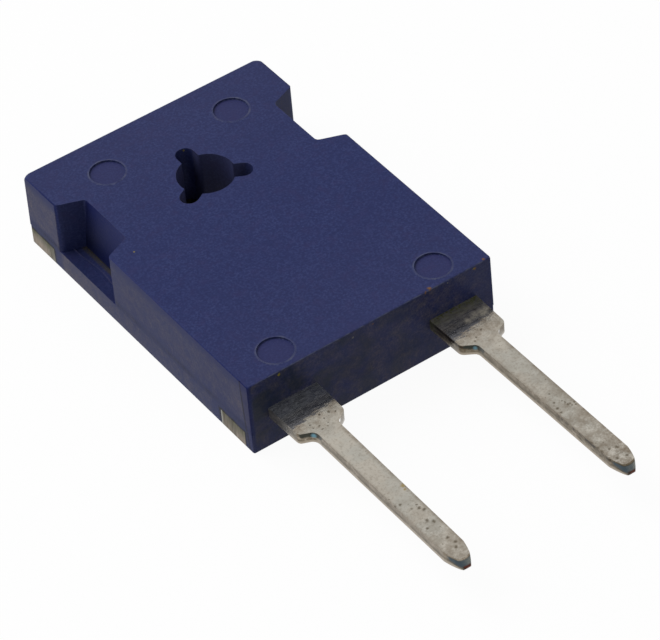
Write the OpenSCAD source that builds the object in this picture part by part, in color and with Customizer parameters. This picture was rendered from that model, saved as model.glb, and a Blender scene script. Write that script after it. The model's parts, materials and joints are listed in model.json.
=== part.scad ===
// Power film resistor in a flat moulded package with one screw hole.
// Millimetres. The origin is on the axis of the mounting hole, at the mounting face.
// +X runs across the body, +Y towards the head end, +Z away from the mounting face.

/* [Moulded body] */
// Body width at the parting line
body_w = 15.8; // [15.2:0.1:16.6]
// Body length at the parting line, from the lead face to the head face
body_l = 21.8; // [20.8:0.1:23.4]
// Body thickness, from the mounting face to the top
body_t = 4.83; // [4.4:0.01:5.4]
// Distance from the hole axis to the head face
hole_to_head = 6.4; // [5.8:0.1:7]
// Height of the parting line of the mould
parting_z = 1.4; // [1.3:0.05:1.7]
// How far each upper wall leans in on its way from the parting line to the top
wall_draft = 0.04; // [0:0.01:0.15]
// How much narrower the lower half is on each side
parting_step = 0.03; // [0.01:0.01:0.08]
// Radius of the upright corners at the head end
head_corner_r = 0.2; // [0.15:0.05:0.6]
// Radius of the upright corners at the lead end
lead_corner_r = 0.15; // [0.15:0.05:0.5]
// Rounding along the top edges
top_edge_r = 0.08; // [0.04:0.01:0.12]
// Rounding of the top edge where it passes a head corner
head_crown_r = 0.3; // [0.12:0.02:0.6]
// Rounding of the top edge where it passes a lead-end corner
lead_crown_r = 0.16; // [0.12:0.02:0.3]
// Chamfer along the bottom edges
bottom_chamfer = 0.1; // [0.04:0.01:0.2]

/* [Clip notches] */
// Distance from the hole axis towards the head to the middle of a notch
notch_offset = 0.43; // [0:0.01:0.8]
// Length of a notch at the side wall
notch_mouth_l = 5.4; // [5:0.1:6]
// Length of a notch at its inner wall
notch_floor_l = 4.05; // [3.6:0.05:4.6]
// Depth of a notch at the top face
notch_depth = 1.6; // [1.3:0.05:1.8]
// How far the inner wall of a notch leans out on its way down to the ledge
notch_lean = 0.32; // [0.1:0.02:0.5]
// Radius of the outer corners of a notch
notch_lip_r = 0.45; // [0.15:0.05:0.6]
// Radius of the inner corners of a notch
notch_root_r = 0.3; // [0.2:0.05:0.5]
// Width of the flash ridge along the ledge of a notch
flash_w = 0.1; // [0.06:0.01:0.2]
// Height of the flash ridge
flash_h = 0.06; // [0.03:0.01:0.12]
// Distance from the side wall to the flash ridge
flash_inset = 0.7; // [0.5:0.05:0.9]

/* [Mounting hole] */
// Diameter of the hole, the same through the moulding and the base plate
hole_d = 3.3; // [3:0.05:3.6]
// Number of hold-down slots round the hole
slot_count = 3; // [3:1:4]
// Width of a hold-down slot
slot_w = 1.1; // [0.8:0.05:1.3]
// Distance from the hole axis to the round end's centre
slot_reach = 2.05; // [1.9:0.05:2.3]

/* [Ejector marks] */
// Diameter of a mark
mark_d = 2; // [1.6:0.1:2.4]
// Depth of a mark
mark_depth = 0.08; // [0.04:0.01:0.15]
// Width of the raised rim round a mark
mark_rim_w = 0.09; // [0.05:0.01:0.15]
// Height of the raised rim
mark_rim_h = 0.025; // [0.01:0.005:0.05]
// Centre distance of the two marks at the head
head_mark_pitch = 8.22; // [7.4:0.02:9]
// Distance from the head face to the head marks
head_mark_inset = 2.82; // [2.4:0.02:3.4]
// Centre distance of the two marks at the lead end
lead_mark_pitch = 10.18; // [9.4:0.02:11]
// Distance from the lead face to the lead-end marks
lead_mark_inset = 1.45; // [1.3:0.05:2]

/* [Base plate] */
// Plate thickness
plate_t = 1.12; // [1:0.01:1.25]
// Moulded wall between the plate and the side faces
plate_side_inset = 0.75; // [0.5:0.05:1.1]
// Moulded wall between the plate and the lead face
plate_lead_inset = 0.75; // [0.5:0.05:1.2]
// Moulded wall between the plate and the head face
plate_head_inset = 0.6; // [0.4:0.05:1]
// Corner radius of the plate
plate_corner_r = 0.6; // [0.3:0.05:1]
// Length of a head ear along the side face
head_ear_l = 2.45; // [1.8:0.05:2.9]
// Width of an ear across the body, which shows on the head face
ear_w = 2.4; // [1.8:0.05:3]
// Length of a lead-end ear along the side face
lead_ear_l = 2.25; // [1.6:0.05:2.8]

/* [Resistor element] */
// Ceramic length
substrate_l = 10.2; // [9:0.1:10.6]
// Ceramic thickness
substrate_t = 0.76; // [0.6:0.02:0.9]
// Distance from the lead face to the ceramic
substrate_inset = 1.9; // [1.6:0.05:2.2]
// Thickness of the bond between ceramic and plate
bond_t = 0.08; // [0.05:0.01:0.12]
// How far the bond squeezes out past the ceramic
bond_squeeze = 0.12; // [0.05:0.01:0.25]
// Thickness of the printed layers (pads and resistive film)
print_t = 0.05; // [0.04:0.01:0.08]
// Bare ceramic left round the print
print_margin = 0.15; // [0.1:0.05:0.3]
// Bare pad left beside the solder
pad_margin = 0.2; // [0.15:0.05:0.35]
// Bare ceramic left in front of and behind the resistive film
film_margin = 0.6; // [0.4:0.05:1]
// Width of the laser trim cut in the film
trim_w = 0.2; // [0.1:0.02:0.4]
// Length of the laser trim cut
trim_l = 3.2; // [1:0.1:5]
// Thickness of the glass coat
glass_t = 0.06; // [0.05:0.01:0.1]
// How far the glass coat laps over the pads and the ceramic
glass_lap = 0.1; // [0.05:0.01:0.14]

/* [Leads] */
// Centre distance of the leads
lead_pitch = 10.41; // [10:0.01:10.6]
// Lead thickness
lead_t = 0.68; // [0.5:0.01:0.8]
// Overall length outside the body
lead_l = 15.2; // [12:0.05:20]
// Width of the narrow leg
leg_w = 1.3; // [1:0.05:1.5]
// Width of the wide root where it leaves the body
root_w = 3.08; // [2.7:0.02:3.3]
// Width of the wide root at its shoulders
shoulder_w = 2.96; // [2.5:0.02:3.2]
// Distance from the body to the shoulders
shoulder_l = 2.6; // [1.8:0.05:3.5]
// Length over which the shoulders fall in to the leg
shoulder_run = 0.55; // [0.3:0.05:1]
// Rounding of the shoulders
shoulder_r = 0.4; // [0.2:0.05:0.5]
// Fillet between shoulder and leg
leg_fillet_r = 0.5; // [0.25:0.05:0.8]
// Length of the pointed end
point_l = 1.2; // [0.8:0.05:2]
// Width of the point's flat end
point_w = 0.5; // [0.3:0.02:0.7]
// Radius of the round end of the flat top face at the point
crown_r = 0.6; // [0.3:0.05:0.65]
// Length of the coned slope between that round end and the tip
slope_l = 0.25; // [0.2:0.01:0.5]
// Height of the coned slope at the tip
slope_h = 0.46; // [0.3:0.02:0.5]
// Chamfer under the point
burr_round = 0.1; // [0.04:0.01:0.15]
// Width of the foot that is soldered to the pad
foot_w = 1.9; // [1.5:0.05:2]
// Length of the wide root inside the body
anchor_l = 1.1; // [0.8:0.05:1.5]
// Length of the whole lead inside the body
embed_l = 4.9; // [4.2:0.1:6]

/* [Solder joints] */
// Solder thickness under a foot
solder_t = 0.07; // [0.05:0.01:0.1]
// How far the solder spreads past the foot
solder_spread = 0.22; // [0.12:0.02:0.24]
// Height to which the solder climbs the foot's edges
solder_climb = 0.34; // [0.2:0.02:0.45]

/* [Hidden] */

$fn = 64;
arc_steps = 5;        // straight steps in each rounded corner of an outline or a wall
over = 1;             // how far a cutter runs past the face it opens

EPOXY = [0.20, 0.22, 0.40];
TINNED = [0.72, 0.70, 0.66];
CERAMIC = [0.93, 0.92, 0.88];
SILVER_PRINT = [0.80, 0.80, 0.78];
RUTHENIUM = [0.13, 0.12, 0.12];
GLASS = [0.15, 0.35, 0.22];
SOLDER = [0.62, 0.63, 0.64];

head_y = hole_to_head;
face_y = hole_to_head - body_l;           // lead face at the parting line
lower_w = body_w - 2 * parting_step;
lower_head_y = head_y - parting_step;
lower_face_y = face_y + parting_step;
span = body_w + body_l;                   // longer than any wall of the body

bond_z = plate_t;
substrate_z = bond_z + bond_t;
print_z = substrate_z + substrate_t;
glass_z = print_z + print_t;
lead_z = print_z + print_t + solder_t;
pad_w = foot_w + 2 * (solder_spread + pad_margin);
substrate_w = lead_pitch + pad_w + 2 * print_margin;    // the pads lie under the leads
substrate_y = face_y + substrate_inset;
print_y = substrate_y + print_margin;
print_l = substrate_l - 2 * print_margin;
film_w = lead_pitch - pad_w;
film_y = substrate_y + film_margin;
film_l = substrate_l - 2 * film_margin;
foot_start_y = face_y + anchor_l;
foot_end_y = face_y + embed_l;
tip_y = face_y - lead_l;
lead_top = lead_z + lead_t;
lean_over = notch_lean * over / (body_t - parting_z);   // the lean, carried on past the top face
rim_top_w = mark_rim_w / 3;               // flat top of a mark's rim, which then slopes down
point_r = point_w / 4;                    // rounding of a lead's pointed end
leg_r = leg_w / 4;                        // rounding where the leg starts to narrow
anchor_r = shoulder_r / 2;                // rounding of the wide root inside the body
foot_r = foot_w / 6;                      // rounding of the soldered foot's end
solder_tip = solder_spread / 8;           // solder beside the foot at the top of its climb

// ---- outlines with rounded corners ----
// A corner is [x, y, radius], and an outline runs counter-clockwise.

function unit(v) = v / norm(v);
function turned(v, a) = [v.x * cos(a) - v.y * sin(a), v.x * sin(a) + v.y * cos(a)];
function at(list, i) = list[(i + len(list)) % len(list)];
function xy(c) = [c.x, c.y];
function mirrored(c) = [for (i = [len(c) - 1 : -1 : 0]) [-c[i].x, c[i].y, c[i][2]]];
function both_sides(right) = concat(right, mirrored(right));

// The arc that rounds corner i
function corner_arc(c, i) =
    let (b = xy(c[i]), before = xy(at(c, i - 1)) - b, after = xy(at(c, i + 1)) - b,
         u = unit(before), w = unit(after), r = c[i][2],
         half = acos(u * w) / 2,
         centre = b + unit(u + w) * r / sin(half),
         start = b + u * r / tan(half) - centre,
         sweep = (180 - 2 * half) * sign(cross(after, before)))
    r == 0 ? [b] : [for (k = [0 : arc_steps]) centre + turned(start, sweep * k / arc_steps)];

function rounded(c) = [for (i = [0 : len(c) - 1]) each corner_arc(c, i)];

// Prisms: standing on the plan, across the body (x, z) and along it (y, z)
module prism_up(c, z, h) translate([0, 0, z]) linear_extrude(h) polygon(rounded(c));
module prism_along(c, y, l) translate([0, y + l, 0]) rotate([90, 0, 0]) linear_extrude(l) polygon(rounded(c));
module prism_across(c, x, w) translate([x, 0, 0]) rotate([90, 0, 90]) linear_extrude(w) polygon(rounded(c));

// ---- moulded body ----

// Upright corners, counter-clockwise from the head end's right: [centre x, centre y, radius, crown rounding]
function upright(x_side, y, r, crown) = [x_side * (body_w / 2 - r), y, r, crown];
function uprights() =
    [upright(1, head_y - head_corner_r, head_corner_r, head_crown_r),
     upright(-1, head_y - head_corner_r, head_corner_r, head_crown_r),
     upright(-1, face_y + lead_corner_r, lead_corner_r, lead_crown_r),
     upright(1, face_y + lead_corner_r, lead_corner_r, lead_crown_r)];

// Walls of the body: [direction it faces, distance from the hole axis, rounding of its top edge].
// Each corner starts with a flat wall and goes on round in equal steps.
function walls() =
    [for (i = [0 : 3], k = [0 : arc_steps - 1])
        let (c = uprights()[i], a = 90 * (i + k / arc_steps))
        [a, c.x * cos(a) + c.y * sin(a) + c[2], top_edge_r + (c[3] - top_edge_r) * sin(180 * k / arc_steps)]];

// Section of a wall, from the mounting face up: a chamfer, a step out at the parting line,
// a lean in, and the rounded top edge, whose last step runs on through the top face
function wall_section(outer, top_r) =
    let (lower = outer - parting_step, upper = outer - wall_draft,
         arc = [for (k = [0 : arc_steps]) let (a = 90 * k / arc_steps)
                    [upper - top_r * (1 - cos(a)), body_t - top_r * (1 - sin(a))]],
         last = arc[arc_steps], before = arc[arc_steps - 1])
    [[-span, -over], [lower - bottom_chamfer - over, -over], [lower, bottom_chamfer],
     [lower, parting_z], [outer, parting_z],
     for (k = [0 : arc_steps - 1]) arc[k], 2 * last - before, [-span, body_t + over]];

module envelope() intersection() {
    translate([-span, -span, 0]) cube([2 * span, 2 * span, body_t]);
    intersection_for(w = walls())
        rotate([90, 0, w[0]]) translate([0, 0, -span]) linear_extrude(2 * span) polygon(wall_section(w[1], w[2]));
}

// Plan of the body below the parting line
module lower_plan() intersection_for(w = walls())
    rotate(w[0]) translate([-span, -span]) square([span + w[1] - parting_step, 2 * span]);

// What is cut from the upper half at the right-hand notch
module notch_cutter() {
    mouth_x = body_w / 2 + parting_step;
    top_x = body_w / 2 - wall_draft - notch_depth;
    reach = notch_mouth_l / 2 + 2 * notch_lip_r;
    intersection() {
        translate([0, notch_offset, 0])
            prism_up([[mouth_x, reach, 0], [mouth_x, notch_mouth_l / 2, notch_lip_r],
                      [top_x, notch_floor_l / 2, notch_root_r], [top_x, -notch_floor_l / 2, notch_root_r],
                      [mouth_x, -notch_mouth_l / 2, notch_lip_r], [mouth_x, -reach, 0],
                      [mouth_x + over, -reach, 0], [mouth_x + over, reach, 0]], parting_z, body_t);
        prism_along([[top_x + notch_lean, parting_z, 0], [mouth_x + 2 * over, parting_z, 0],
                     [mouth_x + 2 * over, body_t + over, 0], [top_x - lean_over, body_t + over, 0]],
                    notch_offset - body_l / 2, body_l);
    }
}

// Fine ridge of flash along both notch ledges, rooted in the ledge
module flash_ridges() {
    for (side = [-1, 1])
        translate([side * (body_w / 2 - flash_inset), notch_offset, parting_z])
            cube([flash_w, notch_mouth_l - notch_lip_r, 2 * flash_h], center = true);
}

module hold_down_slots() {
    for (k = [0 : slot_count - 1])
        rotate(90 + 360 * k / slot_count) translate([0, 0, plate_t]) {
            translate([slot_reach, 0, 0]) cylinder(d = slot_w, h = body_t);
            translate([0, -slot_w / 2, 0]) cube([slot_reach, slot_w, body_t]);
        }
}

module at_marks() {
    for (side = [-1, 1]) {
        translate([side * head_mark_pitch / 2, head_y - head_mark_inset, body_t]) children();
        translate([side * lead_mark_pitch / 2, face_y + lead_mark_inset, body_t]) children();
    }
}

module mark_recess() translate([0, 0, -mark_depth]) cylinder(d = mark_d, h = mark_depth + over);

module mark_rim() rotate_extrude() polygon([[mark_d / 2, -mark_depth], [mark_d / 2 + mark_rim_w, -mark_depth],
    [mark_d / 2 + mark_rim_w, 0], [mark_d / 2 + rim_top_w, mark_rim_h], [mark_d / 2, mark_rim_h]]);

module moulded_body() color(EPOXY) difference() {
    union() {
        difference() {
            envelope();
            notch_cutter();
            mirror([1, 0, 0]) notch_cutter();
        }
        flash_ridges();
        at_marks() mark_rim();
    }
    translate([0, 0, -over]) cylinder(d = hole_d, h = body_t + 2 * over);
    hold_down_slots();
    at_marks() mark_recess();
    plate_seat();
    substrate_bond();
    ceramic_substrate();
    resistive_film();
    glass_coat();
    for (side = [-1, 1]) {
        terminal_pad(side);
        solder_joint(side);
        lead(side);
    }
}

// ---- base plate ----

// Plan of the plate with its ears run out past the faces of the body
module plate_plan() {
    right = lower_w / 2 - plate_side_inset;
    polygon(rounded(both_sides([[right, lower_face_y + plate_lead_inset, plate_corner_r],
                                [right, lower_head_y - plate_head_inset, plate_corner_r]])));
    for (side = [-1, 1]) {
        ear(side, lower_face_y + plate_lead_inset, lead_ear_l);
        ear(side, lower_head_y - head_ear_l, head_ear_l + over);
    }
}

module ear(side, y, l)
    translate([side > 0 ? lower_w / 2 - ear_w : -lower_w / 2 - over, y]) square([ear_w + over, l]);

// What the plate takes out of the moulding
module plate_seat() translate([0, 0, -over]) linear_extrude(plate_t + over) plate_plan();

// The ears are sheared off flush with the faces of the body
module base_plate() color(TINNED) linear_extrude(plate_t) difference() {
    intersection() {
        plate_plan();
        lower_plan();
    }
    circle(d = hole_d);
}

// ---- resistor element ----

module block(w, y, l, z, t) translate([-w / 2, y, z]) cube([w, l, t]);

module substrate_bond() color(SOLDER)
    block(substrate_w + 2 * bond_squeeze, substrate_y - bond_squeeze,
          substrate_l + 2 * bond_squeeze, bond_z, bond_t);

module ceramic_substrate() color(CERAMIC)
    block(substrate_w, substrate_y, substrate_l, substrate_z, substrate_t);

module terminal_pad(side) color(SILVER_PRINT)
    translate([side * lead_pitch / 2, 0, 0]) block(pad_w, print_y, print_l, print_z, print_t);

module resistive_film() color(RUTHENIUM) difference() {
    block(film_w, film_y, film_l, print_z, print_t);
    translate([-trim_w / 2, film_y + film_l - trim_l, print_z]) cube([trim_w, trim_l, print_t]);
}

// The coat fills the trim cut and laps over the pads and the bare ceramic
module glass_coat() color(GLASS) difference() {
    union() {
        block(film_w + 2 * glass_lap, film_y - glass_lap, film_l + 2 * glass_lap, glass_z, glass_t);
        block(film_w, film_y - glass_lap, film_l + 2 * glass_lap, print_z, print_t);
    }
    resistive_film();
}

// ---- leads and their joints ----

// Corners [x, y, radius] of one half of a lead, from the point up to the foot
function lead_right_corners() =
    [[point_w / 2, tip_y, point_r],
     [leg_w / 2, tip_y + point_l, leg_r],
     [leg_w / 2, face_y - shoulder_l - shoulder_run, leg_fillet_r],
     [shoulder_w / 2, face_y - shoulder_l, shoulder_r],
     [root_w / 2, face_y, 0],
     [root_w / 2, foot_start_y, anchor_r],
     [foot_w / 2, foot_start_y + (root_w - foot_w) / 2, anchor_r],
     [foot_w / 2, foot_end_y, foot_r]];

// Side view of a lead: flat, with a chamfer under the point
function lead_profile() =
    [[foot_end_y + over, lead_z, 0], [foot_end_y + over, lead_top, 0], [tip_y, lead_top, 0],
     [tip_y, lead_z + burr_round, 0], [tip_y + burr_round, lead_z, 0]];

// The flat top face of a lead ends in a round, and a cone slopes down from it to the tip
module point_cone() {
    foot_r1 = crown_r + lead_t * slope_l / slope_h;
    translate([0, tip_y + slope_l + crown_r, lead_z]) {
        cylinder(r1 = foot_r1, r2 = crown_r, h = lead_t);
        translate([-root_w, 0, 0]) cube([2 * root_w, lead_l + embed_l, lead_t]);
    }
}

module lead(side) color(TINNED) translate([side * lead_pitch / 2, 0, 0]) intersection() {
    prism_up(both_sides(lead_right_corners()), lead_z, lead_t);
    prism_across(lead_profile(), -root_w, 2 * root_w);
    point_cone();
}

// A skirt of solder that wets the pad and climbs the edges of the foot
module solder_joint(side) color(SOLDER) difference() {
    translate([side * lead_pitch / 2, 0, glass_z]) hull() {
        foot_slab(solder_spread, solder_t);
        foot_slab(solder_tip, solder_t + solder_climb);
    }
    lead(side);
}

module foot_slab(grow, t) {
    y0 = print_y + solder_spread;
    translate([-foot_w / 2 - grow, y0 - grow, 0]) cube([foot_w + 2 * grow, foot_end_y - y0 + 2 * grow, t]);
}

moulded_body();
base_plate();
substrate_bond();
ceramic_substrate();
terminal_pad(-1);  // terminal_pad_left
terminal_pad(1);  // terminal_pad_right
resistive_film();
glass_coat();
solder_joint(-1);  // solder_joint_left
solder_joint(1);  // solder_joint_right
lead(-1);  // lead_left
lead(1);  // lead_right
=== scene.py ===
import json
import math

import bmesh
import bpy
from mathutils import Matrix, Vector


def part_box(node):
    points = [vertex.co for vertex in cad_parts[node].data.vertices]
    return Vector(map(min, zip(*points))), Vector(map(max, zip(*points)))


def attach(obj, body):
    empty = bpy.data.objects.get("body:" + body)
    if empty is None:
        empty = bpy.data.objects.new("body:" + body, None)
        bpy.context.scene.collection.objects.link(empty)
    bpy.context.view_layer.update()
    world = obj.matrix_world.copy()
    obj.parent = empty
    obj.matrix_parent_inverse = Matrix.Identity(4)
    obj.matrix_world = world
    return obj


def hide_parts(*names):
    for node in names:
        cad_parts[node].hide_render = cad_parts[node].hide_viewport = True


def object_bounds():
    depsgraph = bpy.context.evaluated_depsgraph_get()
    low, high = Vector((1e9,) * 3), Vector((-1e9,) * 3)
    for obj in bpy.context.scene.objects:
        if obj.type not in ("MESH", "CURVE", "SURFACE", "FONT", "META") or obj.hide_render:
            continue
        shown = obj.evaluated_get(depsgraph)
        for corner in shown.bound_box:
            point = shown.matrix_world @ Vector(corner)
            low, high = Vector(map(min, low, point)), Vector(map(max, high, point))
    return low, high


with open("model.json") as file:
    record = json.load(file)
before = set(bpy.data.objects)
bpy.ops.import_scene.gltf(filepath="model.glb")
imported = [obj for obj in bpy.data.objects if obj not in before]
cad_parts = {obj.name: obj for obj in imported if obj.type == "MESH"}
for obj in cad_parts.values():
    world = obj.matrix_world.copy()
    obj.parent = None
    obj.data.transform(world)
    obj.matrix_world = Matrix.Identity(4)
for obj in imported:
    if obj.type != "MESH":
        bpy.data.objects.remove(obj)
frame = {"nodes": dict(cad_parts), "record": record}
cadLow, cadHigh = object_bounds()
nodes = frame["nodes"]
mounts = {mount["name"]: mount for mount in frame["record"]["mounts"]}
mm = 0.001

# places that the pieces and finishes below are set out from
bodyLow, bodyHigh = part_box("moulded_body")
plateLow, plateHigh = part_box("base_plate")
topZ = mounts["clip_face"]["pos_m"][2]
leadSides = {"left": -1, "right": 1}
leadBox = {side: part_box("lead_" + side) for side in leadSides}
leadX = {side: (low.x + high.x) / 2 for side, (low, high) in leadBox.items()}
leadTop = leadBox["left"][1].z
leadBottom = leadBox["left"][0].z
tipY = leadBox["left"][0].y
faceY = bodyLow.y / mm                # face that the leads come out of, mm
sideX = bodyHigh.x / mm               # side walls, mm
parting = 1.4                         # parting line of the mould, mm above the mounting face
marks = [(-4.11, 3.58), (4.11, 3.58), (-5.09, -13.95), (5.09, -13.95)]   # ejector marks, mm
black = (0, 0, 0, 1)
white = (1, 1, 1, 1)
print("frame loaded:", len(nodes), "nodes")


# node helpers
def tone(red, green, blue):
    # an on-screen colour, 0 to 255, as the linear colour a shader wants
    def linear(value):
        value /= 255
        return value / 12.92 if value <= 0.04045 else ((value + 0.055) / 1.055) ** 2.4
    return linear(red), linear(green), linear(blue), 1


def feed(tree, node, inputs):
    # links what comes from a node, and sets what is a plain value
    for name, value in inputs.items():
        if isinstance(value, bpy.types.NodeSocket):
            tree.links.new(value, node.inputs[name])
        else:
            node.inputs[name].default_value = value


def put(tree, kind, inputs=None, **settings):
    node = tree.nodes.new(kind)
    for name, value in settings.items():
        setattr(node, name, value)
    feed(tree, node, inputs or {})
    return node


def use(tree, group, inputs):
    node = tree.nodes.new("ShaderNodeGroup")
    node.node_tree = group
    feed(tree, node, inputs)
    return node.outputs


def mixed(tree, factor, first, second):
    # sockets 0, 6 and 7 are the factor and the two colours of a Mix node
    return put(tree, "ShaderNodeMix", {0: factor, 6: first, 7: second}, data_type="RGBA").outputs[2]


def ranged(tree, value, low, high, start=0.0, end=1.0, smooth=False):
    inputs = {"Value": value, "From Min": low, "From Max": high, "To Min": start, "To Max": end}
    kind = "SMOOTHSTEP" if smooth else "LINEAR"
    return put(tree, "ShaderNodeMapRange", inputs, interpolation_type=kind).outputs[0]


def maths(tree, operation, first, second=0.0, clamp=False):
    inputs = {0: first, 1: second}
    return put(tree, "ShaderNodeMath", inputs, operation=operation, use_clamp=clamp).outputs[0]


def both(tree, *masks):
    # where every mask holds
    result = masks[0]
    for mask in masks[1:]:
        result = maths(tree, "MULTIPLY", result, mask)
    return result


def summed(tree, *values):
    result = values[0]
    for value in values[1:]:
        result = maths(tree, "ADD", result, value)
    return result


def band(tree, value, low, high, soft=0.03):
    # 1 between two values, 0 outside
    rising = ranged(tree, value, low - soft, low + soft)
    return both(tree, rising, ranged(tree, value, high + soft, high - soft))


def tinted(tree, colour, shade, *masks, share=1.0):
    # the colour drawn towards a shade where every mask holds
    mask = both(tree, *masks)
    if share < 1:
        mask = maths(tree, "MULTIPLY", mask, share)
    return mixed(tree, mask, colour, shade)


def clouds(tree, vector, scale, detail=2.0, roughness=0.5, distortion=0.0):
    inputs = {"Vector": vector, "Scale": scale, "Detail": detail, "Roughness": roughness,
              "Distortion": distortion}
    return put(tree, "ShaderNodeTexNoise", inputs).outputs["Fac"]


def stretched(tree, vector, scale):
    return put(tree, "ShaderNodeMapping", {"Vector": vector, "Scale": scale}).outputs[0]


def split(tree, vector):
    return put(tree, "ShaderNodeSeparateXYZ", {0: vector}).outputs


def joined(tree, x, y, z):
    return put(tree, "ShaderNodeCombineXYZ", {0: x, 1: y, 2: z}).outputs[0]


def normals(tree):
    return split(tree, put(tree, "ShaderNodeNewGeometry").outputs["Normal"])


# shared patterns
def newGroup(name, inputs, output):
    tree = bpy.data.node_groups.new(name, "ShaderNodeTree")
    for label, kind, value in inputs:
        socket = tree.interface.new_socket(label, in_out="INPUT", socket_type="NodeSocket" + kind)
        socket.default_value = value
    tree.interface.new_socket(output, in_out="OUTPUT", socket_type="NodeSocketFloat")
    return tree, tree.nodes.new("NodeGroupInput").outputs, tree.nodes.new("NodeGroupOutput").inputs


def makePits():
    # scattered pits: 1 inside a pit, 0 outside; only a share of the cells holds one
    inputs = [("Vector", "Vector", (0, 0, 0)), ("Cells", "Float", 3), ("Size", "Float", 0.12),
              ("Share", "Float", 0.3)]
    group, given, out = newGroup("pits", inputs, "Mask")
    cells = put(group, "ShaderNodeTexVoronoi", {"Vector": given["Vector"], "Scale": given["Cells"]})
    pick = put(group, "ShaderNodeSeparateColor", {0: cells.outputs["Color"]}).outputs
    size = maths(group, "MULTIPLY", given["Size"], maths(group, "ADD", pick[1], 0.5))
    inside = ranged(group, cells.outputs["Distance"], size, 0.0)
    kept = maths(group, "LESS_THAN", pick[0], given["Share"])
    group.links.new(both(group, inside, kept), out["Mask"])
    return group


def makeBox():
    # how far a place lies outside a box, 0 inside it
    inputs = [("Vector", "Vector", (0, 0, 0)), ("Centre", "Vector", (0, 0, 0)), ("Half", "Vector", (1, 1, 1))]
    group, given, out = newGroup("box", inputs, "Away")

    def vectors(operation, first, second=(0, 0, 0)):
        return put(group, "ShaderNodeVectorMath", {0: first, 1: second}, operation=operation).outputs
    apart = vectors("ABSOLUTE", vectors("SUBTRACT", given["Vector"], given["Centre"])[0])[0]
    beyond = vectors("MAXIMUM", vectors("SUBTRACT", apart, given["Half"])[0])[0]
    group.links.new(vectors("LENGTH", beyond)["Value"], out["Away"])
    return group


def makeSpot():
    # 1 in the middle of a soft-edged spot, 0 outside it
    inputs = [("Vector", "Vector", (0, 0, 0)), ("Centre", "Vector", (0, 0, 0)), ("Radius", "Float", 0.1)]
    group, given, out = newGroup("spot", inputs, "Mask")
    away = put(group, "ShaderNodeVectorMath", {0: given["Vector"], 1: given["Centre"]}, operation="DISTANCE")
    core = maths(group, "MULTIPLY", given["Radius"], 0.3)
    group.links.new(ranged(group, away.outputs["Value"], given["Radius"], core), out["Mask"])
    return group


pits = makePits()
box = makeBox()
spot = makeSpot()


def outOf(tree, place, centre, half):
    return use(tree, box, {"Vector": place, "Centre": centre, "Half": half})["Away"]


def spotAt(tree, place, centre, radius):
    return use(tree, spot, {"Vector": place, "Centre": centre, "Radius": radius})["Mask"]


def pitted(tree, place, cells, size, share):
    return use(tree, pits, {"Vector": place, "Cells": cells, "Size": size, "Share": share})["Mask"]


def spotted(tree, place, colour, spots):
    # each spot is (x, y, z, radius, tone), millimetres on the object
    for x, y, z, radius, shade in spots:
        colour = mixed(tree, spotAt(tree, place, (x, y, z), radius), colour, shade)
    return colour


def frayed(tree, place, speckle, width):
    # the place pushed about by a pattern, so that marks set out on it get ragged outlines
    push = ranged(tree, speckle, 0.2, 0.8, -width, width)
    inputs = {0: place, 1: joined(tree, push, push, push)}
    return put(tree, "ShaderNodeVectorMath", inputs, operation="ADD").outputs[0]


# materials
def newMaterial(name):
    # returns the tree, its Principled BSDF and the place on the object in millimetres
    material = bpy.data.materials.new(name)
    material.use_nodes = True
    tree = material.node_tree
    place = put(tree, "ShaderNodeTexCoord").outputs["Object"]
    return material, tree, tree.nodes["Principled BSDF"], stretched(tree, place, (1 / mm, 1 / mm, 1 / mm))


def finish(tree, shader, colour, roughness, height, strength, depth):
    tree.links.new(colour, shader.inputs["Base Color"])
    tree.links.new(roughness, shader.inputs["Roughness"])
    bump = put(tree, "ShaderNodeBump", {"Height": height, "Strength": strength, "Distance": depth * mm})
    tree.links.new(bump.outputs[0], shader.inputs["Normal"])


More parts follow.
